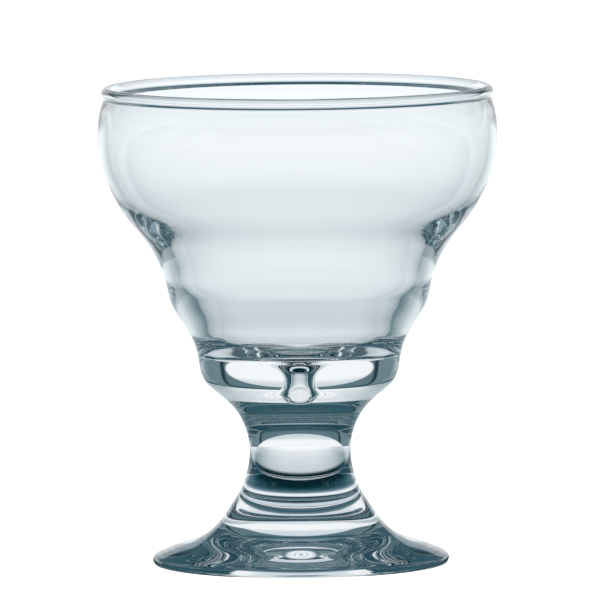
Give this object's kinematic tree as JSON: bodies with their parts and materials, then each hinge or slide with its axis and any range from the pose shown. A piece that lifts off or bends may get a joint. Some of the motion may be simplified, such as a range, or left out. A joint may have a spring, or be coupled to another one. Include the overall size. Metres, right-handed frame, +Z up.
{
  "type": "parfait glass",
  "caption": "Clear glass for layered desserts: a wide shouldered bowl with a rounded rim and a thick solid base, on a short solid stem and a round foot.",
  "frame": {"origin": "on the glass's axis, in the plane that the foot rests on", "axes": "+Z up along the axis, from the foot to the rim; +X and +Y are level, and the glass is round about Z"},
  "size_m": [0.092, 0.0918, 0.11],
  "materials": {
    "bowl_glass": "fire-polished clear",
    "stem_glass": "fire-polished clear",
    "foot_glass": "fire-polished clear"
  },
  "bodies": {
    "root": {"bowl": "bowl_glass", "stem": "stem_glass", "foot": "foot_glass"}
  },
  "joints": []
}
